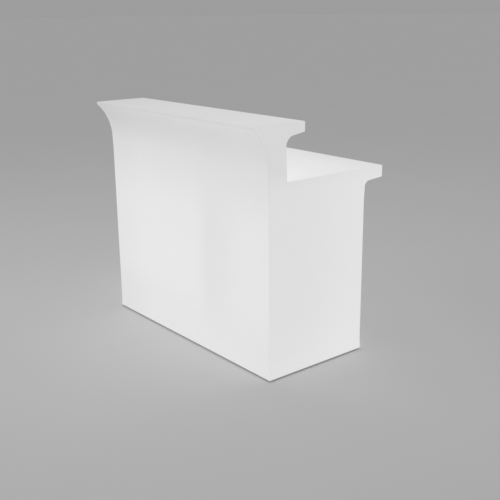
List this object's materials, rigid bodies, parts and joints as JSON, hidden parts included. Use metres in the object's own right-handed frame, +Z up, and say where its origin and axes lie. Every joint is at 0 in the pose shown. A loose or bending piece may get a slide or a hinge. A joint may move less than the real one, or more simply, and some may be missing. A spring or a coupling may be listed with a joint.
{
  "type": "illuminated bar counter",
  "caption": "Free-standing bar counter: a hollow white moulding lit from inside, with a flared front, a raised bar top, a lower worktop and an open bay with a shelf behind.",
  "frame": {"origin": "on the floor, under the middle of the counter's whole length and depth", "axes": "+X along the counter to the right end as the customer sees it, +Y from the customer's side to the bartender's side, +Z up"},
  "size_m": [1.24, 0.747, 1.105],
  "materials": {
    "shell_plastic": "satin translucent white polyethylene, lit from inside",
    "white_plastic": "moulded, matt",
    "brass": "knurled, plain",
    "hatch_paint": "white powder coat on aluminium sheet",
    "seal_rubber": "matt",
    "stainless": "plain stainless",
    "zinc_steel": "zinc plated",
    "grey_plastic": "moulded, matt",
    "driver_aluminium": "anodised",
    "circuit_board": "green solder mask",
    "black_plastic": "fine moulded texture",
    "plated_pins": "nickel plated brass",
    "rocker_plastic": "glossy",
    "fuse_metal": "nickel plated",
    "lead_sheath": "satin sheath",
    "shelf_board": "white laminate on board",
    "edge_band": "satin edging",
    "rail_aluminium": "mill finish",
    "channel_aluminium": "anodised",
    "led_board": "white solder mask",
    "diffuser_plastic": "opal",
    "foot_rubber": "matt"
  },
  "bodies": {
    "shell": {"body_shell": "shell_plastic", "vent_plug": "white_plastic", "foot_inserts": "brass", "light_hatch": "hatch_paint", "hatch_gasket": "seal_rubber", "hatch_screws": "stainless", "hatch_inserts": "brass", "led_end_caps": "grey_plastic", "channel_clips": "stainless", "kit_screws": "stainless", "kit_nuts": "stainless", "driver_case": "driver_aluminium", "driver_board": "circuit_board", "driver_caps": "black_plastic", "inlet_housing": "black_plastic", "inlet_pins": "plated_pins", "inlet_screws": "stainless", "inlet_nuts": "stainless", "inlet_boot": "seal_rubber", "mains_lead": "lead_sheath", "led_lead": "lead_sheath", "jumper_lower": "lead_sheath", "jumper_upper": "lead_sheath", "lead_saddle": "white_plastic", "shelf_rail_left": "rail_aluminium", "shelf_rail_right": "rail_aluminium", "rail_screws": "stainless", "rail_inserts": "brass", "led_channel_lower": "channel_aluminium", "led_board_lower": "led_board", "led_diffuser_lower": "diffuser_plastic", "led_channel_middle": "channel_aluminium", "led_board_middle": "led_board", "led_diffuser_middle": "diffuser_plastic", "led_channel_upper": "channel_aluminium", "led_board_upper": "led_board", "led_diffuser_upper": "diffuser_plastic"},
    "shelf": {"bay_shelf": "shelf_board", "shelf_edge_band": "edge_band"},
    "rocker": {"rocker_switch": "rocker_plastic"},
    "drawer": {"fuse_drawer": "black_plastic", "fuse_link": "fuse_metal"},
    "foot_front_left": {"foot_pad_front_left": "foot_rubber", "foot_stud_front_left": "zinc_steel"},
    "foot_rear_left": {"foot_pad_rear_left": "foot_rubber", "foot_stud_rear_left": "zinc_steel"},
    "foot_front_right": {"foot_pad_front_right": "foot_rubber", "foot_stud_front_right": "zinc_steel"},
    "foot_rear_right": {"foot_pad_rear_right": "foot_rubber", "foot_stud_rear_right": "zinc_steel"}
  },
  "joints": [
    {"name": "shelf_slide", "type": "slide", "parent": "shell", "child": "shelf", "axis": [0, 1, 0], "range_m": [0, 0.15]},
    {"name": "rocker_tilt", "type": "hinge", "parent": "shell", "child": "rocker", "pos_m": [0.33, -0.0515, 0.2435], "axis": [1, 0, 0], "range_deg": [-20, 0]},
    {"name": "fuse_drawer_slide", "type": "slide", "parent": "shell", "child": "drawer", "axis": [0, 1, 0], "range_m": [0, 0.02]},
    {"name": "level_front_left", "type": "slide", "parent": "shell", "child": "foot_front_left", "axis": [0, 0, -1], "range_m": [0, 0.015]},
    {"name": "level_rear_left", "type": "slide", "parent": "shell", "child": "foot_rear_left", "axis": [0, 0, -1], "range_m": [0, 0.015]},
    {"name": "level_front_right", "type": "slide", "parent": "shell", "child": "foot_front_right", "axis": [0, 0, -1], "range_m": [0, 0.015]},
    {"name": "level_rear_right", "type": "slide", "parent": "shell", "child": "foot_rear_right", "axis": [0, 0, -1], "range_m": [0, 0.015]}
  ]
}
